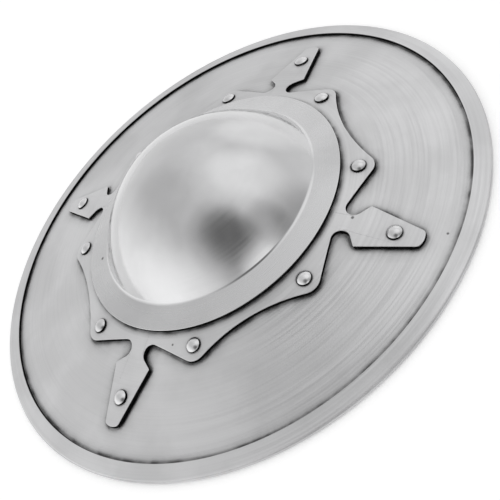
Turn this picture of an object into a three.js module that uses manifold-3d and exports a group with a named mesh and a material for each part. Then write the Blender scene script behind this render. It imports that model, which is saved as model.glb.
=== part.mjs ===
// Round steel buckler. A shallow cone of sheet steel with a hemmed edge, a star-shaped plate on its
// face, a hollow round boss over that, and a steel bar behind the opening to hold it by.
// Millimetres. The shield lies on its rim with the boss up: +Z is up, the ground is z = 0, and the
// arms of the star plate point along X and Y.

import * as THREE from "three";
import { mergeVertices } from "three/addons/utils/BufferGeometryUtils.js";
import Module from "manifold-3d";

const wasm = await Module();
wasm.setup();

const radians = THREE.MathUtils.degToRad;

// Driving dimensions. The shield is measured outwards from its middle line: the dome's foot, the
// flange, the star plate's points and arms, the bare face and the hem, each from the one before it.

// the sheets and the gaps between pieces that touch
const coneAngle = radians(12.06);
const discSheet = 1.6;
const plateSheet = 1.6;
const bossSheet = 2.0;
const seatGap = 0.25;

// the boss: its dome, the cove round its foot and its flange
const domeBaseRadius = 61.3;
const domeRise = 38.1;
const coveRadius = 7.0;
const flangeWidth = 16.5;

// the opening for the fist, in the disc and the star plate alike
const openingMargin = 2.7;

// the star plate, outwards from the flange's edge
const armCount = 4;
const valleyReveal = 5.5;
const cornerRivetOut = 7.8;
const cornerRivetAngle = radians(23.27);
const cornerRound = 8.0;
const notchOut = 10.2;
const notchRadius = 4.8;
const neckHalfWidth = 4.8;
const shoulderOut = 18.1;
const shoulderHalfWidth = 11.9;
const shoulderRound = 0.8;
const armReach = 49.1;
const armRivetIn = 15.0;
const tipHalfWidth = 4.9;
const tipRound = 2.5;
const tipCrown = 0.5;

// the disc, outwards from the arms' tips
const faceBorder = 14.1;
const hemWidth = 9.0;

// the rivets
const headRadius = 4.0;
const headHeight = 2.2;
const headEdge = 0.35;
const shankRadius = 2.0;
const holeClearance = 0.25;
const tailRadius = 3.2;
const tailHeight = 1.2;

// the hand grip: flat riveted ends, a narrower run on each side and a swelled oval handle
const gripSheet = 3.0;
const gripEndWidth = 24.0;
const gripEndLength = 34.0;
const gripRunWidth = 16.0;
const gripFillet = 5.0;
const handleWidth = 24.0;
const handleThickness = 14.0;
const handleEndGap = 12.0;

// how finely the round shapes are cut
const discSides = 72;
const bossSides = 52;
const rivetSides = 10;
const handleSides = 18;
const outlineSteps = 3;
const foldSteps = 4;
const domeSteps = 8;
const coveSteps = 3;
const headSteps = 3;
const swellSteps = 10;

// What follows from them
const flangeRadius = domeBaseRadius + flangeWidth;
const openingRadius = domeBaseRadius + openingMargin;
const armTipRadius = flangeRadius + armReach;
const armRivetRadius = armTipRadius - armRivetIn;
const hemInnerRadius = armTipRadius + faceBorder;
const rimRadius = hemInnerRadius + hemWidth;
const cornerRivetRadius = flangeRadius + cornerRivetOut;
const plateUnder = seatGap;
const plateTop = plateUnder + plateSheet;
const flangeUnder = plateTop + seatGap;
const flangeTop = flangeUnder + bossSheet;

// The hem folds about the edge of the disc's upper face. The fold's lowest facet is level, and the
// shield lies on it.
const foldRadius = rimRadius - discSheet;
const foldHeight = discSheet * Math.cos(coneAngle);

// a point of the section: from the disc's upper face at a radius, so far up square to the face
function onFace(radius, up) {
  return new THREE.Vector2(
    radius + up * Math.sin(coneAngle),
    foldHeight + (foldRadius - radius) * Math.tan(coneAngle) + up * Math.cos(coneAngle)
  );
}

// a point of the section that lies so far up from the face, at a radius of its own
function atRadius(radius, up) {
  return onFace(radius - up * Math.sin(coneAngle), up);
}

// points along an arc of the section, both ends included
function arcPoints(centre, radius, from, to, steps) {
  const points = [];
  for (let i = 0; i <= steps; i += 1) {
    const angle = from + ((to - from) * i) / steps;
    points.push(new THREE.Vector2(centre.x + radius * Math.cos(angle), centre.y + radius * Math.sin(angle)));
  }
  return points;
}

// a section of radius and height turned about Z
function turned(points, sides) {
  return new THREE.LatheGeometry(points, sides).rotateX(Math.PI / 2);
}

// a ring section, given as an open list of points, turned about Z
function turnedRing(points, sides) {
  return turned([...points, points[0]], sides);
}

// an outline in plan, raised into a prism that passes through the whole shield
function uprightPrism(shape) {
  const depth = 2 * rimRadius;
  const prism = new THREE.ExtrudeGeometry(shape, { depth, bevelEnabled: false, curveSegments: outlineSteps });
  return prism.translate(0, 0, -depth / 2);
}

function toSolid(geometry) {
  const bare = geometry.clone();
  bare.deleteAttribute("normal");
  bare.deleteAttribute("uv");
  const merged = mergeVertices(bare, 1e-5);
  const corners = [];
  const index = merged.index.array;
  for (let i = 0; i < index.length; i += 3) {
    const [a, b, c] = [index[i], index[i + 1], index[i + 2]];
    if (a !== b && b !== c && c !== a) corners.push(a, b, c);
  }
  const vertProperties = Float32Array.from(merged.attributes.position.array);
  const triVerts = Uint32Array.from(corners);
  return new wasm.Manifold(new wasm.Mesh({ numProp: 3, vertProperties, triVerts }));
}

function toGeometry(solid) {
  const mesh = solid.getMesh();
  const indexed = new THREE.BufferGeometry();
  indexed.setAttribute("position", new THREE.BufferAttribute(mesh.vertProperties, 3));
  indexed.setIndex(new THREE.BufferAttribute(mesh.triVerts, 1));
  const geometry = indexed.toNonIndexed();
  geometry.computeVertexNormals();
  return geometry;
}

function cutFrom(solid, cutters) {
  return cutters.reduce((rest, cutter) => rest.subtract(toSolid(cutter)), solid);
}

// A closed outline that rolls round a list of circles, counter-clockwise, with a straight run
// between each two. turn is 1 where the circle lies inside the outline and -1 where it lies outside.
function rolledOutline(circles) {
  const headings = circles.map((circle, i) => {
    const next = circles[(i + 1) % circles.length];
    const apart = new THREE.Vector2(next.x - circle.x, next.y - circle.y);
    const offset = circle.turn * circle.radius - next.turn * next.radius;
    return apart.angle() + Math.asin(THREE.MathUtils.clamp(offset / apart.length(), -1, 1));
  });
  const shape = new THREE.Shape();
  circles.forEach((circle, i) => {
    const before = headings[(i + circles.length - 1) % circles.length];
    const side = (-circle.turn * Math.PI) / 2;
    shape.absarc(circle.x, circle.y, circle.radius, before + side, headings[i] + side, circle.turn < 0);
  });
  return shape;
}

function rotatedCircle(circle, angle) {
  const place = new THREE.Vector2(circle.x, circle.y).rotateAround(new THREE.Vector2(), angle);
  return { ...circle, x: place.x, y: place.y };
}

// a frame square to the face at a place on it, in which the rivets and their holes stand
function faceFrame(radius, angle) {
  const frame = new THREE.Group();
  const foot = onFace(radius, 0);
  frame.rotation.order = "ZYX";
  frame.rotation.set(0, coneAngle, angle);
  frame.position.set(foot.x * Math.cos(angle), foot.x * Math.sin(angle), foot.y);
  frame.updateMatrix();
  return frame;
}

// Where the rivets stand: one in each arm's head and one in each corner point
const quarter = (2 * Math.PI) / armCount;
const armPlaces = [];
const cornerPlaces = [];
for (let i = 0; i < armCount; i += 1) {
  armPlaces.push({ radius: armRivetRadius, angle: i * quarter, holdsGrip: i % (armCount / 2) === 0 });
  cornerPlaces.push({ radius: cornerRivetRadius, angle: i * quarter + cornerRivetAngle });
  cornerPlaces.push({ radius: cornerRivetRadius, angle: (i + 1) * quarter - cornerRivetAngle });
}

// The grip's flat ends lie under the curved sheet and touch it at their edges, so their middle
// stands off by the sheet's rise between them. It is held by two arm rivets opposite each other.
const gripBendRadius = armRivetRadius + gripEndWidth / 2 - gripEndLength;
const gripStandOff = seatGap + (gripEndWidth ** 2 / (8 * gripBendRadius)) * Math.sin(coneAngle);
const gripTop = -discSheet - gripStandOff;
const gripBottom = gripTop - gripSheet;

function rivetHole({ radius, angle }) {
  const length = flangeTop - gripBottom + headHeight + tailHeight;
  const hole = new THREE.CylinderGeometry(
    shankRadius + holeClearance,
    shankRadius + holeClearance,
    2 * length,
    rivetSides
  );
  return hole.rotateX(Math.PI / 2).applyMatrix4(faceFrame(radius, angle).matrix);
}

// Shield disc: one sheet pressed to a cone, its edge turned over onto the face as a flat hem
function shieldDisc() {
  const fold = new THREE.Vector2(foldRadius, foldHeight);
  const lowest = -Math.PI / 2;
  const section = [
    onFace(openingRadius, -discSheet),
    ...arcPoints(fold, discSheet, lowest - coneAngle, lowest + coneAngle, 1),
    ...arcPoints(fold, discSheet, lowest + coneAngle, Math.PI / 2 - coneAngle, foldSteps).slice(1),
    onFace(hemInnerRadius, discSheet),
    onFace(hemInnerRadius, 0),
    onFace(openingRadius, 0),
  ];
  const sheet = toSolid(turnedRing(section, discSides));
  return toGeometry(cutFrom(sheet, [...armPlaces, ...cornerPlaces].map(rivetHole)));
}

// Star plate: a ring with an arm along each axis and two corner points between each two arms.
// The outline is worked out for the eighth from an arm's middle line to the valley beside it.
function starOutline() {
  const tipSide = tipHalfWidth - tipRound;
  const crownRadius = tipRound + (tipCrown ** 2 + tipSide ** 2) / (2 * tipCrown);
  const cornerPlan = cornerRivetRadius + plateTop * Math.sin(coneAngle);
  const valleyTurn = quarter / 2 - cornerRivetAngle;
  const valleyRadius = flangeRadius + valleyReveal;
  const cornerIn = valleyRadius - cornerPlan * Math.cos(valleyTurn);
  const cornerSide = cornerPlan * Math.sin(valleyTurn);
  const valleyRound =
    (cornerSide ** 2 + cornerIn ** 2 - cornerRound ** 2) / (2 * (cornerRound - cornerIn));
  const crown = { x: armTipRadius - crownRadius, y: 0, radius: crownRadius, turn: 1 };
  const side = [
    { x: armTipRadius - tipCrown - tipRound, y: tipSide, radius: tipRound, turn: 1 },
    { x: flangeRadius + shoulderOut, y: shoulderHalfWidth - shoulderRound, radius: shoulderRound, turn: 1 },
    { x: flangeRadius + notchOut, y: neckHalfWidth + notchRadius, radius: notchRadius, turn: -1 },
    rotatedCircle({ x: cornerPlan, y: 0, radius: cornerRound, turn: 1 }, cornerRivetAngle),
  ];
  const otherSide = side.map((circle) => ({ ...circle, y: -circle.y })).reverse();
  const valley = { x: valleyRadius + valleyRound, y: 0, radius: valleyRound, turn: -1 };
  const circles = [];
  for (let i = 0; i < armCount; i += 1) {
    for (const circle of [...otherSide, crown, ...side, rotatedCircle(valley, quarter / 2)]) {
      circles.push(rotatedCircle(circle, i * quarter));
    }
  }
  return rolledOutline(circles);
}

function starPlate() {
  const outside = armTipRadius + tipRound;
  const section = [
    onFace(openingRadius, plateUnder),
    onFace(outside, plateUnder),
    onFace(outside, plateTop),
    onFace(openingRadius, plateTop),
  ];
  const sheet = toSolid(turnedRing(section, discSides));
  const star = sheet.intersect(toSolid(uprightPrism(starOutline())));
  return toGeometry(cutFrom(star, [...armPlaces, ...cornerPlaces].map(rivetHole)));
}

// Boss: a dome of sheet, hollow and open behind, with a cove round its foot and a coned flange
function boss() {
  const foot = atRadius(domeBaseRadius, flangeTop);
  const domeRadius = (domeBaseRadius ** 2 + domeRise ** 2) / (2 * domeRise);
  const middle = new THREE.Vector2(0, foot.y + domeRise - domeRadius);

  // the cove's middle lies on a line above the flange, at its own radius from the dome
  const reach = domeRadius + coveRadius;
  const start = atRadius(0, flangeTop + coveRadius).sub(middle);
  const along = new THREE.Vector2(Math.cos(coneAngle), -Math.sin(coneAngle));
  const half = start.dot(along);
  const distance = -half + Math.sqrt(half ** 2 - start.lengthSq() + reach ** 2);
  const coveMiddle = start.addScaledVector(along, distance).add(middle);

  const toDome = coveMiddle.clone().sub(middle).angle();
  const toFlange = -Math.PI / 2 - coneAngle;
  const apex = Math.PI / 2;
  const outer = [
    ...arcPoints(coveMiddle, coveRadius, toFlange, toDome - Math.PI, coveSteps),
    ...arcPoints(middle, domeRadius, toDome, apex, domeSteps).slice(1),
  ];
  const inner = [
    ...arcPoints(middle, domeRadius - bossSheet, apex, toDome, domeSteps),
    ...arcPoints(coveMiddle, coveRadius + bossSheet, toDome - Math.PI, toFlange, coveSteps).slice(1),
  ];
  const edge = flangeRadius - flangeTop * Math.sin(coneAngle);
  const section = [...inner, onFace(edge, flangeUnder), onFace(edge, flangeTop), ...outer];
  return toGeometry(toSolid(turned(section, bossSides)));
}

// Rivet: a domed head, a shank and a low peened tail. It stands square to the face, z = 0 at the
// disc's upper face, and clamps what lies between its head and its tail.
function rivet(tailSeat) {
  const headSeat = plateTop + seatGap;
  const headRound = (headRadius ** 2 + (headHeight - headEdge) ** 2) / (2 * (headHeight - headEdge));
  const headTop = headSeat + headHeight;
  const headMiddle = new THREE.Vector2(0, headTop - headRound);
  const headStart = Math.asin((headSeat + headEdge - headMiddle.y) / headRound);
  const section = [
    new THREE.Vector2(0, tailSeat - tailHeight),
    new THREE.Vector2(tailRadius * Math.SQRT1_2, tailSeat - tailHeight * Math.SQRT1_2),
    new THREE.Vector2(tailRadius, tailSeat),
    new THREE.Vector2(shankRadius, tailSeat),
    new THREE.Vector2(shankRadius, headSeat),
    new THREE.Vector2(headRadius, headSeat),
    ...arcPoints(headMiddle, headRound, headStart, Math.PI / 2, headSteps),
  ];
  return toGeometry(toSolid(turned(section, rivetSides)));
}

// Hand grip: one forged bar across the opening, along X. Its flat ends follow the slope of the
// disc, the middle runs level, and an oval handle swells from it inside the opening.
function gripSide() {
  const bend = onFace(gripBendRadius, gripTop);
  const endRadius = armRivetRadius + gripEndWidth;
  const half = [
    new THREE.Vector2(bend.x - gripSheet * Math.tan(coneAngle / 2), bend.y - gripSheet),
    onFace(endRadius, gripBottom),
    onFace(endRadius, gripTop),
    bend,
  ];
  const otherHalf = half.map((point) => new THREE.Vector2(-point.x, point.y)).reverse();
  return new THREE.Shape([...half, ...otherHalf]);
}

function gripPlan(handleLength) {
  const endMiddle = onFace(armRivetRadius, gripTop).x;
  const quarterPlan = [
    { x: gripBendRadius, y: gripEndWidth / 2 - gripFillet, radius: gripFillet, turn: 1 },
    { x: handleLength / 2 + gripFillet, y: gripRunWidth / 2 + gripFillet, radius: gripFillet, turn: -1 },
  ];
  const end = { x: endMiddle, y: 0, radius: gripEndWidth / 2, turn: 1 };
  const upTo = quarterPlan.map((circle) => ({ ...circle, y: -circle.y })).reverse();
  const half = [...upTo, end, ...quarterPlan];
  const otherHalf = half.map((circle) => ({ ...circle, x: -circle.x, y: -circle.y }));
  return rolledOutline([...half, ...otherHalf]);
}

function handGrip() {
  const width = 2 * gripEndWidth;
  const strip = new THREE.ExtrudeGeometry(gripSide(), { depth: width, bevelEnabled: false });
  strip.translate(0, 0, -width / 2).rotateX(Math.PI / 2);

  // the handle is turned about its length, full through the middle and falling to the bar's own
  // thickness at its ends, then flattened to an oval
  const handleLength = 2 * (openingRadius - handleEndGap);
  const flatten = handleThickness / handleWidth;
  const endRadius = gripSheet / 2 / flatten;
  const section = [new THREE.Vector2(0, -handleLength / 2)];
  for (let i = 0; i <= swellSteps; i += 1) {
    const along = (2 * i) / swellSteps - 1;
    const swell = (handleWidth / 2 - endRadius) * (1 - along ** 4);
    section.push(new THREE.Vector2(endRadius + swell, (along * handleLength) / 2));
  }
  section.push(new THREE.Vector2(0, handleLength / 2));
  const handle = new THREE.LatheGeometry(section, handleSides).rotateZ(-Math.PI / 2).scale(1, 1, flatten);
  handle.translate(0, 0, onFace(gripBendRadius, gripTop).y - gripSheet / 2);

  const bar = toSolid(strip).intersect(toSolid(uprightPrism(gripPlan(handleLength))));
  const grip = bar.add(toSolid(handle));
  return toGeometry(cutFrom(grip, armPlaces.filter((place) => place.holdsGrip).map(rivetHole)));
}

function steel(color, roughness) {
  return new THREE.MeshStandardMaterial({ color, roughness, metalness: 1.0 });
}

function piece(name, geometry, material) {
  const mesh = new THREE.Mesh(geometry, material);
  mesh.name = name;
  return mesh;
}

const buckler = new THREE.Group();
buckler.name = "buckler_shield";
buckler.add(piece("shield_disc", shieldDisc(), steel(0xa6a7a8, 0.42)));
buckler.add(piece("star_plate", starPlate(), steel(0xadaeaf, 0.4)));
buckler.add(piece("boss", boss(), steel(0xbcbdbe, 0.22)));
buckler.add(piece("hand_grip", handGrip(), steel(0x9a9b9c, 0.45)));

function addRivets(label, places) {
  places.forEach((place, i) => {
    const frame = faceFrame(place.radius, place.angle);
    const tailSeat = (place.holdsGrip ? gripBottom : -discSheet) - seatGap;
    frame.add(piece(`${label}_${i + 1}`, rivet(tailSeat), steel(0xc4c5c6, 0.25)));
    buckler.add(frame);
  });
}

addRivets("arm_rivet", armPlaces);
addRivets("corner_rivet", cornerPlaces);

export default buckler;
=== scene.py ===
# Round steel buckler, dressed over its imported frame. Metres: it lies on its rim with the boss up,
# the ground is z = 0, and the star plate's arms point along X and Y.

import math

import bmesh
import bpy
from mathutils import Matrix, Vector


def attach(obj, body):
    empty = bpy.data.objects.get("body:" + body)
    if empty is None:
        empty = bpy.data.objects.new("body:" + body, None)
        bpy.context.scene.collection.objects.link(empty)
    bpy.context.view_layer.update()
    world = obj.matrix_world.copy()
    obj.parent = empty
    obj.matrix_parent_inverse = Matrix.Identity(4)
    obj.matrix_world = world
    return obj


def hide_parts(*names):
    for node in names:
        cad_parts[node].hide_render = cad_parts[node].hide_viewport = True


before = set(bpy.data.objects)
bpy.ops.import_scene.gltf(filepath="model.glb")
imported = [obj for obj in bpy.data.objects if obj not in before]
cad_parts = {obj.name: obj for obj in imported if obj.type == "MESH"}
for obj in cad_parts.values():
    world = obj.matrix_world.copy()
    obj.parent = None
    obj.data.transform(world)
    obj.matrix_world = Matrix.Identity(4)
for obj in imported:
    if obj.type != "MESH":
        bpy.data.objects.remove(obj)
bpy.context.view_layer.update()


# Shield disc
# One round sheet of steel, pressed to a shallow cone. Its edge is turned over onto the face and
# hammered flat as a hem, so the raised band is the same sheet. The face is spun to a satin finish.
# The step inside the hem is painted black, for its patina and as painted shade, and the face is
# painted darker beside the steps, painted shade mixed with patina.

cone_angle = math.radians(12.06)
disc_sheet = 0.0016
rim_radius = 0.150
hem_width = 0.009
opening_radius = 0.064
hem_inner_radius = rim_radius - hem_width
fold_radius = rim_radius - disc_sheet
fold_height = disc_sheet * math.cos(cone_angle)
sheet_edge_round = 0.0003
hem_step_zone = 0.0006
disc_turns = 360
spun_lines_per_metre = 1300
spun_line_drift = 14
cloud_scale = 22.0
scratch_way = math.radians(37)
scratch_stretch = (9, 900, 1)
steel_line_height = 0.00004
polish_border = 0.0006
# the dark grey the steel is painted toward in its corners: patina, and painted shade where steps and rivets shade
# the steel
patina_and_shade_grey = 0.03


def on_face(radius, up):
    """A point of a section: from the disc's upper face at a radius, so far up square to the face."""
    height = fold_height + (fold_radius - radius) * math.tan(cone_angle) + up * math.cos(cone_angle)
    return Vector((radius + up * math.sin(cone_angle), height))


def arc(middle, radius, first, last, steps):
    """Points of a section along an arc between two angles in degrees, both ends included."""
    points = []
    for i in range(steps + 1):
        angle = math.radians(first + (last - first) * i / steps)
        points.append(middle + radius * Vector((math.cos(angle), math.sin(angle))))
    return points


def eased(before, corner, after, ease, steps=3):
    """Points that round off a corner of a section, tangent to the lines on both sides of it."""
    back = (before - corner).normalized()
    on = (after - corner).normalized()
    half = back.angle(on) / 2
    middle = corner + (back + on).normalized() * ease / math.sin(half)
    start = corner + back * ease / math.tan(half) - middle
    end = corner + on * ease / math.tan(half) - middle
    return [middle + start.lerp(end, i / steps).normalized() * ease for i in range(steps + 1)]


def along(first, last, steps):
    """Points of a section on a straight line, without its two ends."""
    return [first.lerp(last, i / steps) for i in range(1, steps)]


def start_drawing(name):
    """A new piece of one point at the origin, in edit mode."""
    bpy.ops.object.select_all(action="DESELECT")
    bpy.ops.mesh.primitive_plane_add(size=0.001, location=(0, 0, 0))
    bpy.context.object.name = name
    bpy.ops.object.mode_set(mode="EDIT")
    bpy.ops.mesh.select_mode(type="VERT")
    bpy.ops.mesh.select_all(action="SELECT")
    bpy.ops.mesh.merge(type="CENTER")
    return bpy.context.object


def draw_line(points):
    """Draws a line of edges from the selected point at the origin through these places."""
    here = Vector((0, 0, 0))
    for i, point in enumerate(points):
        move = tuple(point - here)
        if i == 0:
            bpy.ops.transform.translate(value=move)
        else:
            bpy.ops.mesh.extrude_region_move(TRANSFORM_OT_translate={"value": move})
        here = point


def spun(name, section, turns):
    """A closed shell spun a full turn about Z from its section of radius and height."""
    piece = start_drawing(name)
    draw_line([Vector((point.x, 0, point.y)) for point in section])
    bpy.ops.mesh.select_all(action="SELECT")
    bpy.ops.mesh.spin(steps=turns, angle=2 * math.pi, center=(0, 0, 0), axis=(0, 0, 1))
    bpy.ops.mesh.select_all(action="SELECT")
    bpy.ops.mesh.remove_doubles(threshold=1e-6)
    bpy.ops.mesh.normals_make_consistent(inside=False)
    bpy.ops.object.mode_set(mode="OBJECT")
    return piece


def select_only(piece):
    """Makes this piece the active one and the only one selected."""
    bpy.ops.object.select_all(action="DESELECT")
    bpy.context.view_layer.objects.active = piece
    piece.select_set(True)


def shade(piece):
    """Smooth shading that keeps the broad faces true beside their rounded edges."""
    select_only(piece)
    bpy.ops.object.shade_smooth_by_angle(angle=math.radians(40))
    bpy.ops.object.modifier_add(type="WEIGHTED_NORMAL")
    piece.modifiers[-1].keep_sharp = True
    bpy.ops.object.modifier_apply(modifier=piece.modifiers[-1].name)


def paint(piece, materials, is_second):
    """Gives a piece its materials, the second one on the faces that is_second picks."""
    select_only(piece)
    for material in materials:
        piece.data.materials.append(material)
    if is_second:
        bpy.ops.object.mode_set(mode="EDIT")
        bpy.ops.mesh.select_mode(type="FACE")
        bpy.ops.mesh.select_all(action="DESELECT")
        drawing = bmesh.from_edit_mesh(piece.data)
        for face in drawing.faces:
            face.select = is_second(face.calc_center_median(), face.normal)
        bmesh.update_edit_mesh(piece.data)
        piece.active_material_index = 1
        bpy.ops.object.material_slot_assign()
        bpy.ops.object.mode_set(mode="OBJECT")


def finish_part(piece, materials, is_second, node):
    """Paints a piece and seats it in the frame."""
    paint(piece, materials, is_second)
    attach(piece, "root")
    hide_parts(node)


def new_material(name):
    """An empty metal material, with its nodes, links and shader."""
    material = bpy.data.materials.new(name)
    material.use_nodes = True
    nodes = material.node_tree.nodes
    links = material.node_tree.links
    shader = nodes["Principled BSDF"]
    shader.inputs["Metallic"].default_value = 1.0
    return material, nodes, links, shader


def math_node(nodes, links, operation, first, second):
    """A Math node on two values, each a number or another node's output."""
    node = nodes.new("ShaderNodeMath")
    node.operation = operation
    for socket, value in zip(node.inputs, (first, second)):
        if isinstance(value, (int, float)):
            socket.default_value = value
        else:
            links.new(value, socket)
    return node.outputs[0]


def map_range(nodes, links, value, low, high, to_low, to_high):
    """Smoothly turns one range of a value into another, and holds it at the ends."""
    node = nodes.new("ShaderNodeMapRange")
    node.interpolation_type = "SMOOTHSTEP"
    links.new(value, node.inputs["Value"])
    node.inputs["From Min"].default_value = low
    node.inputs["From Max"].default_value = high
    node.inputs["To Min"].default_value = to_low
    node.inputs["To Max"].default_value = to_high
    return node.outputs["Result"]


def noise(nodes, links, vector, scale, detail):
    """A noise from 0 to 1 at a place."""
    node = nodes.new("ShaderNodeTexNoise")
    node.inputs["Scale"].default_value = scale
    node.inputs["Detail"].default_value = detail
    links.new(vector, node.inputs["Vector"])
    return node.outputs["Fac"]


def grey_mix(nodes, links, factor, first, second):
    """A grey between two tones, by a factor."""
    node = nodes.new("ShaderNodeMix")
    node.data_type = "RGBA"
    links.new(factor, node.inputs["Factor"])
    node.inputs["A"].default_value = (first, first, first * 1.01, 1)
    node.inputs["B"].default_value = (second, second, second * 1.01, 1)
    return node.outputs["Result"]


def darkened(nodes, links, factor, colour, dark):
    """A colour turned to a dark grey by a factor."""
    node = nodes.new("ShaderNodeMix")
    node.data_type = "RGBA"
    links.new(factor, node.inputs["Factor"])
    links.new(colour, node.inputs["A"])
    node.inputs["B"].default_value = (dark, dark, dark, 1)
    return node.outputs["Result"]


def spun_steel(name, tone, blur, line_depth, reach, open_below, polish=None, marks=(), grain=0.0, streak=0.025):
    """Steel with fine spun lines, painted shade and patina in its corners, a few scratches and small marks.

    The painted shade and patina are fullest where less than open_below of what lies within reach is open. A
    polish is the radius inside which the steel is polished and its blur there. A mark is a place and a size.
    """
    material, nodes, links, shader = new_material(name)
    place = nodes.new("ShaderNodeTexCoord").outputs["Object"]
    axes = nodes.new("ShaderNodeSeparateXYZ")
    links.new(place, axes.inputs[0])
    flat = nodes.new("ShaderNodeVectorMath")
    flat.operation = "MULTIPLY"
    flat.inputs[1].default_value = (1, 1, 0)
    links.new(place, flat.inputs[0])
    radius = nodes.new("ShaderNodeVectorMath")
    radius.operation = "LENGTH"
    links.new(flat.outputs[0], radius.inputs[0])
    rings = nodes.new("ShaderNodeCombineXYZ")
    links.new(math_node(nodes, links, "MULTIPLY", radius.outputs["Value"], spun_lines_per_metre), rings.inputs[0])
    links.new(math_node(nodes, links, "MULTIPLY", axes.outputs["X"], spun_line_drift), rings.inputs[1])
    links.new(math_node(nodes, links, "MULTIPLY", axes.outputs["Y"], spun_line_drift), rings.inputs[2])
    lines = noise(nodes, links, rings.outputs[0], 1.0, 3.0)
    clouds = noise(nodes, links, place, cloud_scale, 5.0)

    turned = nodes.new("ShaderNodeMapping")
    turned.inputs["Rotation"].default_value = (0, 0, scratch_way)
    turned.inputs["Scale"].default_value = scratch_stretch
    links.new(place, turned.inputs["Vector"])
    hairlines = map_range(nodes, links, noise(nodes, links, turned.outputs[0], 1.0, 1.0), 0.77, 0.84, 0, 1)
    sparse = map_range(nodes, links, noise(nodes, links, place, 34.0, 1.0), 0.58, 0.68, 0, 1)
    scratches = math_node(nodes, links, "MULTIPLY", hairlines, sparse)

    # painted shade: the steel is darkened where near surfaces close it in, as shade falls in corners and beside
    # steps, mixed with the patina that gathers there and broken up by noise
    corners = nodes.new("ShaderNodeAmbientOcclusion")
    corners.samples = 16
    corners.inputs["Distance"].default_value = reach
    corner_shade_and_patina = map_range(nodes, links, corners.outputs["AO"], open_below, 0.995, 0.9, 0)
    shade_and_patina_breakup = map_range(nodes, links, noise(nodes, links, place, 110.0, 4.0), 0.35, 0.65, 0.6, 1)
    shade_patina_and_marks = math_node(nodes, links, "MULTIPLY", corner_shade_and_patina, shade_and_patina_breakup)
    facing = nodes.new("ShaderNodeSeparateXYZ")
    links.new(nodes.new("ShaderNodeTexCoord").outputs["Normal"], facing.inputs[0])
    on_front = map_range(nodes, links, facing.outputs["Z"], 0.3, 0.7, 0, 1)
    shade_patina_and_marks = math_node(nodes, links, "MULTIPLY", shade_patina_and_marks, on_front)
    for spot, size in marks:
        apart = nodes.new("ShaderNodeVectorMath")
        apart.operation = "DISTANCE"
        links.new(place, apart.inputs[0])
        apart.inputs[1].default_value = spot
        mark = map_range(nodes, links, apart.outputs["Value"], size * 0.4, size, 0.75, 0)
        shade_patina_and_marks = math_node(nodes, links, "MAXIMUM", shade_patina_and_marks, mark)

    shades = map_range(nodes, links, clouds, 0.36, 0.64, 0, 1)
    steel = grey_mix(nodes, links, shades, tone * 0.93, tone * 1.06)
    # the steel's tone, painted darker by the corner shade and patina and by the marks
    links.new(darkened(nodes, links, shade_patina_and_marks, steel, patina_and_shade_grey), shader.inputs["Base Color"])
    cloudy_blur = map_range(nodes, links, clouds, 0.3, 0.7, -0.02, 0.02)
    if polish:
        polished_radius, polished_blur = polish
        base_blur = map_range(nodes, links, radius.outputs["Value"],
                              polished_radius - polish_border, polished_radius + polish_border,
                              polished_blur, blur)
        cloudy_blur = math_node(nodes, links, "ADD", cloudy_blur, base_blur)
    else:
        cloudy_blur = math_node(nodes, links, "ADD", cloudy_blur, blur)
    streaks = map_range(nodes, links, lines, 0.3, 0.7, -streak, streak)
    links.new(math_node(nodes, links, "ADD", cloudy_blur, streaks), shader.inputs["Roughness"])
    if grain:
        round_z = nodes.new("ShaderNodeVectorMath")
        round_z.operation = "CROSS_PRODUCT"
        round_z.inputs[0].default_value = (0, 0, 1)
        links.new(place, round_z.inputs[1])
        links.new(round_z.outputs[0], shader.inputs["Tangent"])
        shader.inputs["Anisotropic"].default_value = grain
        shader.inputs["Anisotropic Rotation"].default_value = 0.25

    scratch_depth = math_node(nodes, links, "MULTIPLY", scratches, 0.35)
    surface = math_node(nodes, links, "SUBTRACT", lines, scratch_depth)
    bump = nodes.new("ShaderNodeBump")
    bump.inputs["Strength"].default_value = line_depth
    bump.inputs["Distance"].default_value = steel_line_height
    links.new(surface, bump.inputs["Height"])
    links.new(bump.outputs["Normal"], shader.inputs["Normal"])
    return material


def black_patina_and_shade():
    """The dull black left in steps and corners, worn through a little in places; it is patina, painted this black
    to stand in for the shade on these walls as well.
    """
    material, nodes, links, shader = new_material("black_patina_and_shade")
    place = nodes.new("ShaderNodeTexCoord").outputs["Object"]
    wear = map_range(nodes, links, noise(nodes, links, place, 900.0, 4.0), 0.52, 0.72, 0, 1)
    shader.inputs["Metallic"].default_value = 0.0
    shader.inputs["Specular IOR Level"].default_value = 0.06
    links.new(grey_mix(nodes, links, wear, 0.003, 0.016), shader.inputs["Base Color"])
    links.new(map_range(nodes, links, wear, 0, 1, 0.75, 0.5), shader.inputs["Roughness"])
    bump = nodes.new("ShaderNodeBump")
    bump.inputs["Strength"].default_value = 0.3
    bump.inputs["Distance"].default_value = 0.00005
    links.new(wear, bump.inputs["Height"])
    links.new(bump.outputs["Normal"], shader.inputs["Normal"])
    return material


under_opening = on_face(opening_radius, -disc_sheet)
top_opening = on_face(opening_radius, 0)
hem_step = on_face(hem_inner_radius, disc_sheet)
hem_foot = on_face(hem_inner_radius, 0)
fold_middle = Vector((fold_radius, fold_height))
lean = math.degrees(cone_angle)
fold_under = arc(fold_middle, disc_sheet, -90 - lean, -90 + lean, 1)
fold_outside = [
    *arc(fold_middle, disc_sheet, -90 + lean, 0, 8),
    *arc(fold_middle, disc_sheet, 0, 90 - lean, 8)[1:],
]
disc_section = [
    *eased(top_opening, under_opening, fold_under[0], sheet_edge_round),
    *along(under_opening, fold_under[0], 16),
    fold_under[0],
    *fold_outside,
    *along(fold_outside[-1], hem_step, 4),
    *eased(fold_outside[-1], hem_step, hem_foot, sheet_edge_round),
    hem_foot,
    *along(hem_foot, top_opening, 24),
    *eased(hem_foot, top_opening, under_opening, sheet_edge_round),
]
disc_section.append(disc_section[0])
disc = spun("shield_disc_sheet", disc_section, disc_turns)
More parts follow.
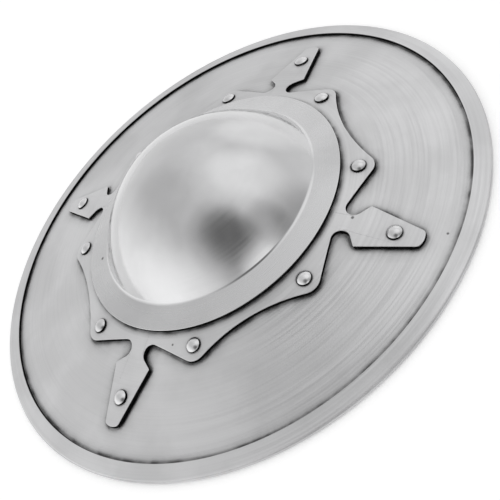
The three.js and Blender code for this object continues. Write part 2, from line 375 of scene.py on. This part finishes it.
shade(disc)
# patina with painted shade: the black given to the hem step, the plate's sawn sides, the flange edge and the
# edges of the rivet heads
patina_and_shade_material = black_patina_and_shade()


def in_hem_step(centre, normal):
    """The small upright face at the inner edge of the hem."""
    radius = math.hypot(centre.x, centre.y)
    outward = (normal.x * centre.x + normal.y * centre.y) / radius
    return abs(radius - hem_inner_radius) < hem_step_zone and outward < -0.9


disc_marks = [((0.1351, 0.0066, 0.0044), 0.0009)]
disc_steel = spun_steel("spun_satin_steel", tone=0.62, blur=0.40, line_depth=0.16, reach=0.008,
                        open_below=0.8, marks=disc_marks, grain=0.9, streak=0.08)
finish_part(disc, [disc_steel, patina_and_shade_material], in_hem_step, "shield_disc")


# Star plate
# One ring of sheet steel with four blunt arms and eight rounded corner points, sawn out, filed and
# riveted to the disc. Its top edge is eased and its sawn sides are painted black, for their patina
# and as painted shade.

plate_sheet = 0.0016
seat_gap = 0.00025
plate_under = seat_gap
plate_top = plate_under + plate_sheet
flange_radius = 0.0778
valley_reveal = 0.0055
corner_rivet_radius = flange_radius + 0.0078
corner_rivet_angle = math.radians(23.27)
corner_round = 0.008
notch_out = 0.0102
notch_radius = 0.0048
neck_half_width = 0.0048
shoulder_out = 0.0181
shoulder_half_width = 0.0119
shoulder_round = 0.0008
arm_tip_radius = flange_radius + 0.0491
tip_half_width = 0.0049
tip_round = 0.0025
tip_crown = 0.0005
plate_band = 0.0005
plate_edge_round = 0.00025
slice_angle = 1.0


def circle_at(x, y, radius, turn, steps, angle=0.0):
    """A circle that the outline rolls round: turn is 1 where it lies inside it and -1 outside."""
    place = Matrix.Rotation(angle, 2) @ Vector((x, y))
    return {"place": place, "radius": radius, "turn": turn, "steps": steps}


def rolled(circles):
    """The closed outline round a ring of circles, with a straight run between each two."""
    headings = []
    for i, circle in enumerate(circles):
        following = circles[(i + 1) % len(circles)]
        apart = following["place"] - circle["place"]
        offset = circle["turn"] * circle["radius"] - following["turn"] * following["radius"]
        share = max(-1, min(1, offset / apart.length))
        headings.append(math.atan2(apart.y, apart.x) + math.asin(share))
    points = []
    for i, circle in enumerate(circles):
        turned = (headings[i] - headings[i - 1]) % (2 * math.pi)
        if circle["turn"] < 0:
            turned -= 2 * math.pi
        if abs(turned) > 1.5 * math.pi:
            turned = 0.0
        first = headings[i - 1] - circle["turn"] * math.pi / 2
        for k in range(circle["steps"] + 1):
            angle = first + turned * k / circle["steps"]
            points.append(circle["place"] + circle["radius"] * Vector((math.cos(angle), math.sin(angle))))
    return points


tip_side = tip_half_width - tip_round
crown_radius = tip_round + (tip_crown ** 2 + tip_side ** 2) / (2 * tip_crown)
corner_plan = corner_rivet_radius + plate_top * math.sin(cone_angle)
valley_turn = math.radians(45) - corner_rivet_angle
valley_radius = flange_radius + valley_reveal
corner_in = valley_radius - corner_plan * math.cos(valley_turn)
corner_side = corner_plan * math.sin(valley_turn)
valley_round = (corner_side ** 2 + corner_in ** 2 - corner_round ** 2) / (2 * (corner_round - corner_in))
tip_in = arm_tip_radius - tip_crown - tip_round
shoulder_side = shoulder_half_width - shoulder_round
valley_steps = 24
star_circles = []
for arm in range(4):
    way = math.radians(90 * arm)
    star_circles += [
        circle_at(valley_radius + valley_round, 0, valley_round, -1, valley_steps, way - math.radians(45)),
        circle_at(corner_plan, 0, corner_round, 1, 36, way - corner_rivet_angle),
        circle_at(flange_radius + notch_out, -neck_half_width - notch_radius, notch_radius, -1, 32, way),
        circle_at(flange_radius + shoulder_out, -shoulder_side, shoulder_round, 1, 8, way),
        circle_at(tip_in, -tip_side, tip_round, 1, 10, way),
        circle_at(arm_tip_radius - crown_radius, 0, crown_radius, 1, 8, way),
        circle_at(tip_in, tip_side, tip_round, 1, 10, way),
        circle_at(flange_radius + shoulder_out, shoulder_side, shoulder_round, 1, 8, way),
        circle_at(flange_radius + notch_out, neck_half_width + notch_radius, notch_radius, -1, 32, way),
        circle_at(corner_plan, 0, corner_round, 1, 36, way + corner_rivet_angle),
    ]
star_outline = rolled(star_circles)

# the quarter about the arm along X, from the middle of one valley to the middle of the next
quarter_outline = star_outline[valley_steps // 2:valley_steps // 2 + len(star_outline) // 4 + 1]
opening_arc = arc(Vector((0, 0)), opening_radius, 45, -45, 90)

star = start_drawing("star_plate_sheet")
draw_line([Vector((p.x, p.y, 0)) for p in quarter_outline + opening_arc])
bpy.ops.mesh.select_all(action="SELECT")
bpy.ops.mesh.remove_doubles(threshold=1e-6)
bpy.ops.mesh.select_all(action="SELECT")
bpy.ops.mesh.edge_face_add()
for i in range(1, int(90 / slice_angle)):
    across = math.radians(i * slice_angle - 45)
    bpy.ops.mesh.select_all(action="SELECT")
    bpy.ops.mesh.bisect(plane_co=(0, 0, 0), plane_no=(-math.sin(across), math.cos(across), 0))
bpy.ops.mesh.select_all(action="SELECT")
bpy.ops.mesh.spin(dupli=True, steps=3, angle=math.radians(270), center=(0, 0, 0), axis=(0, 0, 1))
bpy.ops.mesh.select_all(action="SELECT")
bpy.ops.mesh.remove_doubles(threshold=5e-5)
bpy.ops.mesh.select_all(action="SELECT")
bpy.ops.mesh.extrude_region_move(TRANSFORM_OT_translate={"value": (0, 0, plate_sheet)})
bpy.ops.mesh.select_all(action="SELECT")
bpy.ops.mesh.normals_make_consistent(inside=False)

# a narrow band inside the top edge, and the edge itself eased
bpy.ops.mesh.select_mode(type="FACE")
bpy.ops.mesh.select_all(action="DESELECT")
drawing = bmesh.from_edit_mesh(star.data)
for face in drawing.faces:
    face.select = face.normal.z > 0.9
bmesh.update_edit_mesh(star.data)
bpy.ops.mesh.inset(thickness=plate_band, use_boundary=True)
bpy.ops.mesh.select_mode(type="EDGE")
bpy.ops.mesh.select_all(action="DESELECT")
drawing = bmesh.from_edit_mesh(star.data)
for edge in drawing.edges:
    ups = sorted(face.normal.z for face in edge.link_faces)
    edge.select = len(ups) == 2 and abs(ups[0]) < 0.1 and ups[1] > 0.9
bmesh.update_edit_mesh(star.data)
bpy.ops.mesh.bevel(offset=plate_edge_round, segments=3, profile=0.5)

# the flat plate is raised to the disc's slope, each point by its radius
drawing = bmesh.from_edit_mesh(star.data)
for point in drawing.verts:
    up = (plate_under + point.co.z) / math.cos(cone_angle)
    radius = math.hypot(point.co.x, point.co.y)
    point.co.z = on_face(radius, 0).y + up
bmesh.update_edit_mesh(star.data)
bpy.ops.object.mode_set(mode="OBJECT")
shade(star)


def on_star_side(centre, normal):
    """The plate's sawn sides."""
    return abs(normal.z) < 0.25


plate_marks = [((0.0892, 0.0033, 0.0161), 0.0011), ((0.0214, -0.0812, 0.0173), 0.0008)]
plate_steel = spun_steel("plate_satin_steel", tone=0.62, blur=0.40, line_depth=0.14, reach=0.004,
                         open_below=0.66, marks=plate_marks, grain=0.9, streak=0.08)
finish_part(star, [plate_steel, patina_and_shade_material], on_star_side, "star_plate")


# Boss
# A round dome of sheet steel, hammered and polished, hollow and open behind. A small cove
# turns it out to a coned satin flange, soldered to the star plate. The flange's edge is painted black,
# for its patina and as painted shade.

boss_sheet = 0.0020
dome_half_width = 0.0843
dome_half_height = 0.110
boss_height = 0.062466
dome_middle_height = boss_height - dome_half_height
foot_round = 0.003
inner_foot_turn = 1.6
outer_foot_turn = 1.0
flange_edge_round = 0.00045
flange_patina_and_shade_radius = 0.076
polished_to_radius = 0.0665
dome_blur = 0.13
flange_under = plate_top + seat_gap
flange_top = flange_under + boss_sheet
boss_turns = 300


def at_radius(radius, up):
    """A point of a section at a radius of its own, so far up from the disc's upper face."""
    return on_face(radius - up * math.sin(cone_angle), up)


def dome_point(angle, inset):
    """A point of the dome's section, so far inside its face, where 90 degrees is the top."""
    across, rise = math.cos(math.radians(angle)), math.sin(math.radians(angle))
    outward = Vector((across / dome_half_width, rise / dome_half_height)).normalized()
    face = Vector((dome_half_width * across, dome_middle_height + dome_half_height * rise))
    return face - outward * inset


def dome_foot(inset, up):
    """The angle at which the dome's section comes down to a side of the flange."""
    angle = 80.0
    while dome_point(angle, inset).y > at_radius(dome_point(angle, inset).x, up).y:
        angle -= 0.02
    return angle


def dome_line(first, last, inset, steps):
    """Points along the dome's section between two angles."""
    return [dome_point(first + (last - first) * i / steps, inset) for i in range(steps + 1)]


flange_edge = flange_radius - flange_top * math.sin(cone_angle)
edge_under = on_face(flange_edge, flange_under)
edge_top = on_face(flange_edge, flange_top)
outer_angle = dome_foot(0, flange_top)
inner_angle = dome_foot(boss_sheet, flange_under)
outer_round = eased(edge_top, dome_point(outer_angle, 0), dome_point(outer_angle + outer_foot_turn, 0),
                    foot_round, 10)
inner_round = eased(dome_point(inner_angle + 1, boss_sheet), dome_point(inner_angle, boss_sheet),
                    edge_under, foot_round + boss_sheet, 10)
boss_section = [
    *dome_line(90, inner_angle + inner_foot_turn, boss_sheet, 40),
    *inner_round,
    *along(inner_round[-1], edge_under, 4),
    edge_under,
    *eased(edge_under, edge_top, outer_round[0], flange_edge_round, 4),
    *along(edge_top, outer_round[0], 12)[1:],
    *outer_round,
    *dome_line(outer_angle + outer_foot_turn, 90, 0, 64),
]
boss = spun("boss_shell", boss_section, boss_turns)
shade(boss)


def on_flange_edge(centre, normal):
    """The upright edge round the flange."""
    radius = math.hypot(centre.x, centre.y)
    outward = (normal.x * centre.x + normal.y * centre.y) / max(radius, 1e-6)
    return radius > flange_patina_and_shade_radius and outward > 0.93


flange_marks = [((-0.0539, -0.042, 0.0229), 0.0012)]
boss_steel = spun_steel("polished_boss_steel", tone=0.56, blur=0.25, line_depth=0.012, reach=0.002,
                        open_below=0.4, polish=(polished_to_radius, dome_blur), marks=flange_marks,
                        streak=0.04)
finish_part(boss, [boss_steel, patina_and_shade_material], on_flange_edge, "boss")


# Rivets
# Twelve round-headed steel rivets, one in each arm and each corner point, their tails peened over
# behind. Two arm rivets opposite each other are longer and hold the hand grip as well.

head_radius = 0.004
head_height = 0.0022
head_edge = 0.00035
shank_radius = 0.002
tail_radius = 0.0032
tail_height = 0.0012
tail_steps = 10
head_foot_round = 0.00012
head_patina_and_shade_width = 0.0003
arm_rivet_from_tip = 0.015
arm_rivet_radius = arm_tip_radius - arm_rivet_from_tip
grip_sheet = 0.003
grip_end_width = 0.024
grip_end_length = 0.034
grip_bend_radius = arm_rivet_radius + grip_end_width / 2 - grip_end_length
grip_stand_off = seat_gap + grip_end_width ** 2 / (8 * grip_bend_radius) * math.sin(cone_angle)
grip_top = -disc_sheet - grip_stand_off
grip_bottom = grip_top - grip_sheet


def rivet_shape(name, tail_seat):
    """A rivet that stands at the origin, z = 0 at the disc's upper face."""
    seat = plate_top + seat_gap
    round_height = head_height - head_edge
    head_round = (head_radius ** 2 + round_height ** 2) / (2 * round_height)
    head_middle = Vector((0, seat + head_height - head_round))
    head_start = math.degrees(math.asin((seat + head_edge - head_middle.y) / head_round))
    edge = Vector((head_radius, seat + head_edge))
    foot = Vector((head_radius, seat))
    tail_rim = []
    for i in range(tail_steps + 1):
        slope = math.radians(90 - 90 * i / tail_steps)
        tail_rim.append(Vector((tail_radius * math.cos(slope), tail_seat - tail_height * math.sin(slope))))
    return spun(name, [
        *tail_rim,
        Vector((shank_radius, tail_seat)),
        Vector((shank_radius, seat)),
        *eased(Vector((shank_radius, seat)), foot, edge, head_foot_round, 2),
        *arc(head_middle, head_round, head_start, 90, 12),
    ], 48)


def place_rivet(shape, name, node, radius, angle):
    """Copies a rivet to its place in the face, square to it, with the place in the copy's mesh."""
    foot = on_face(radius, 0)
    stand = Matrix.Translation((foot.x * math.cos(angle), foot.x * math.sin(angle), foot.y))
    turn = Matrix.Rotation(angle, 4, "Z") @ Matrix.Rotation(cone_angle, 4, "Y")
    select_only(shape)
    bpy.ops.object.duplicate(linked=False)
    copy = bpy.context.object
    copy.name = name
    copy.matrix_world = stand @ turn
    bpy.ops.object.transform_apply(location=True, rotation=True, scale=True)
    finish_part(copy, [], None, node)


def on_rivet_side(centre, normal):
    """The head's upright edge and the turn of its dome just above it."""
    return math.hypot(centre.x, centre.y) > head_radius - head_patina_and_shade_width


short_rivet = rivet_shape("short_rivet", -disc_sheet - seat_gap)
long_rivet = rivet_shape("long_rivet", grip_bottom - seat_gap)
rivet_steel = spun_steel("polished_rivet_steel", tone=0.6, blur=0.16, line_depth=0.05, reach=0.001,
                         open_below=0.4)
# each head's edge painted black, for patina and as painted shade round its foot
for shape in (short_rivet, long_rivet):
    shade(shape)
    paint(shape, [rivet_steel, patina_and_shade_material], on_rivet_side)
for i in range(4):
    way = math.radians(90 * i)
    arm_shape = long_rivet if i % 2 == 0 else short_rivet
    place_rivet(arm_shape, f"arm_rivet_{i + 1}_steel", f"arm_rivet_{i + 1}", arm_rivet_radius, way)
    for k, angle in enumerate((way + corner_rivet_angle, way + math.radians(90) - corner_rivet_angle)):
        number = 2 * i + k + 1
        place_rivet(short_rivet, f"corner_rivet_{number}_steel", f"corner_rivet_{number}",
                    corner_rivet_radius, angle)
select_only(short_rivet)
long_rivet.select_set(True)
bpy.ops.object.delete()


# Hand grip
# One forged steel bar across the opening behind, held by two of the arm rivets. Its flat ends follow
# the disc's slope, the middle runs level, and an oval handle swells from it for the fist.

grip_run_width = 0.016
grip_fillet = 0.005
handle_width = 0.024
handle_thickness = 0.014
handle_end_gap = 0.012
handle_length = 2 * (opening_radius - handle_end_gap)
swell_steps = 40
swell_power = 4
forging_grid = 0.0007

# the bar: half of its outline in plan, filled, thickened and cut where it bends
end_middle = on_face(arm_rivet_radius, grip_top).x
run_fillet_out = handle_length / 2 + grip_fillet
run_fillet_side = grip_run_width / 2 + grip_fillet
grip_circles = []
for way in (0, math.pi):
    grip_circles += [
        circle_at(run_fillet_out, -run_fillet_side, grip_fillet, -1, 8, way),
        circle_at(grip_bend_radius, grip_fillet - grip_end_width / 2, grip_fillet, 1, 8, way),
        circle_at(end_middle, 0, grip_end_width / 2, 1, 48, way),
        circle_at(grip_bend_radius, grip_end_width / 2 - grip_fillet, grip_fillet, 1, 8, way),
        circle_at(run_fillet_out, run_fillet_side, grip_fillet, -1, 8, way),
    ]
bar_outline = rolled(grip_circles)
bar = start_drawing("grip_bar")
draw_line([Vector((p.x, p.y, 0)) for p in bar_outline + bar_outline[:1]])
bpy.ops.mesh.select_all(action="SELECT")
bpy.ops.mesh.remove_doubles(threshold=1e-6)
bpy.ops.mesh.select_all(action="SELECT")
bpy.ops.mesh.edge_face_add()
for side in (-1, 1):
    bpy.ops.mesh.select_all(action="SELECT")
    bpy.ops.mesh.bisect(plane_co=(side * grip_bend_radius, 0, 0), plane_no=(1, 0, 0))
bpy.ops.mesh.select_all(action="SELECT")
bpy.ops.mesh.extrude_region_move(TRANSFORM_OT_translate={"value": (0, 0, grip_sheet)})
bpy.ops.mesh.select_all(action="SELECT")
bpy.ops.mesh.normals_make_consistent(inside=False)
bend_top = on_face(grip_bend_radius, grip_top)
drawing = bmesh.from_edit_mesh(bar.data)
for point in drawing.verts:
    sloped = max(abs(point.co.x) - bend_top.x, 0)
    lift = (point.co.z - grip_sheet) / (math.cos(cone_angle) if sloped > 0 else 1)
    point.co.z = bend_top.y - sloped * math.tan(cone_angle) + lift
bmesh.update_edit_mesh(bar.data)
bpy.ops.object.mode_set(mode="OBJECT")

# the handle: a swelled bar turned about its length, then flattened to an oval
flatten = handle_thickness / handle_width
end_radius = grip_sheet / 2 / flatten
swell = [Vector((0, -handle_length / 2))]
for i in range(swell_steps + 1):
    share = 2 * i / swell_steps - 1
    swell_radius = end_radius + (handle_width / 2 - end_radius) * (1 - share ** swell_power)
    swell.append(Vector((swell_radius, share * handle_length / 2)))
swell.append(Vector((0, handle_length / 2)))
handle = spun("grip_handle", swell, 64)
handle.matrix_world = (
    Matrix.Translation((0, 0, bend_top.y - grip_sheet / 2))
    @ Matrix.Diagonal((1, 1, flatten, 1))
    @ Matrix.Rotation(math.radians(90), 4, "Y")
)
select_only(handle)
bpy.ops.object.transform_apply(location=True, rotation=True, scale=True)

# bar and handle forged into one, with its edges softened
select_only(bar)
handle.select_set(True)
bpy.ops.object.join()
grip = bpy.context.object
grip.name = "hand_grip_forging"
bpy.ops.object.modifier_add(type="REMESH")
grip.modifiers[-1].mode = "VOXEL"
grip.modifiers[-1].voxel_size = forging_grid
bpy.ops.object.modifier_apply(modifier=grip.modifiers[-1].name)
bpy.ops.object.modifier_add(type="SMOOTH")
grip.modifiers[-1].factor = 0.5
grip.modifiers[-1].iterations = 6
bpy.ops.object.modifier_apply(modifier=grip.modifiers[-1].name)
bpy.ops.object.shade_smooth()
grip_steel = spun_steel("forged_grip_steel", tone=0.42, blur=0.4, line_depth=0.1, reach=0.004, open_below=0.5)
finish_part(grip, [grip_steel], None, "hand_grip")


# Floor, light and camera
# A plain white floor that glows slightly and can be seen through from below. The light is a bright
# soft sky, and its soft spots give the steel the reflections that the photograph shows.

bpy.ops.mesh.primitive_plane_add(size=40, location=(0, 0, 0))
floor = bpy.context.object
floor.name = "floor"
floor_material, nodes, links, shader = new_material("white_floor")
shader.inputs["Metallic"].default_value = 0.0
shader.inputs["Base Color"].default_value = (0.95, 0.95, 0.95, 1)
shader.inputs["Roughness"].default_value = 0.8
shader.inputs["Emission Color"].default_value = (1, 1, 1, 1)
shader.inputs["Emission Strength"].default_value = 0.2
clear = nodes.new("ShaderNodeBsdfTransparent")
from_below = nodes.new("ShaderNodeMixShader")
links.new(nodes.new("ShaderNodeNewGeometry").outputs["Backfacing"], from_below.inputs[0])
links.new(shader.outputs[0], from_below.inputs[1])
links.new(clear.outputs[0], from_below.inputs[2])
links.new(from_below.outputs[0], nodes["Material Output"].inputs["Surface"])
floor.data.materials.append(floor_material)

world = bpy.data.worlds.new("studio")
bpy.context.scene.world = world
world.use_nodes = True
nodes = world.node_tree.nodes
links = world.node_tree.links
sky_direction = nodes.new("ShaderNodeTexCoord").outputs["Generated"]


def sky_spot(azimuth, from_zenith, narrow, wide, amount):
    """A soft round spot in the sky, full inside one angle and gone outside another, in degrees."""
    around = math.radians(azimuth)
    down = math.radians(from_zenith)
    middle = (math.sin(down) * math.cos(around), math.sin(down) * math.sin(around), math.cos(down))
    closeness = nodes.new("ShaderNodeVectorMath")
    closeness.operation = "DOT_PRODUCT"
    links.new(sky_direction, closeness.inputs[0])
    closeness.inputs[1].default_value = middle
    outer_edge = math.cos(math.radians(wide))
    inner_edge = math.cos(math.radians(narrow))
    return map_range(nodes, links, closeness.outputs["Value"], outer_edge, inner_edge, 0, amount)


# each spot: azimuth, angle from the zenith, full inside this angle, gone outside this one, amount;
# what each one stands for in the room is a guess
sky = 0.975
for spot in [
    (-38, 41, 0, 27, -0.42),  # the dark camera and whoever stands behind it
    (-45, 40, 15, 35, -0.35),  # the dimmer wall round the camera
    (-30, 70, 0, 20, 0.40),  # a bright patch below the camera
    (5, 55, 0, 20, -0.35),  # the dim side of the room, right of the camera
    (20, 90, 0, 40, -0.50),  # the same side, down to the floor
    (60, 40, 0, 30, 0.25),  # a soft lamp on the right
    (100, 75, 0, 25, 0.25),  # a bright wall far on the right
    (210, 35, 10, 50, -0.20),  # the dimmer ceiling behind
    (230, 95, 20, 65, 0.45),  # the bright side on the left, down to the floor
    (305, 70, 0, 15, -0.15),  # a dim corner left of the camera
]:
    sky = math_node(nodes, links, "ADD", sky, sky_spot(*spot))
uneven = noise(nodes, links, sky_direction, 3.5, 3.0)
sky = math_node(nodes, links, "ADD", sky, map_range(nodes, links, uneven, 0.35, 0.65, -0.02, 0.02))
nodes["Background"].inputs["Color"].default_value = (1, 1, 1, 1)
links.new(sky, nodes["Background"].inputs["Strength"])

camera_turn = (math.radians(40.4148), math.radians(29.5281), math.radians(29.0619))
bpy.ops.object.camera_add(location=(0.36108, -0.21480, 0.34921), rotation=camera_turn)
camera = bpy.context.object
camera.data.sensor_width = 36
camera.data.lens = 71.35
camera.data.clip_start = 0.01
bpy.context.scene.camera = camera
bpy.context.scene.view_settings.view_transform = "Standard"
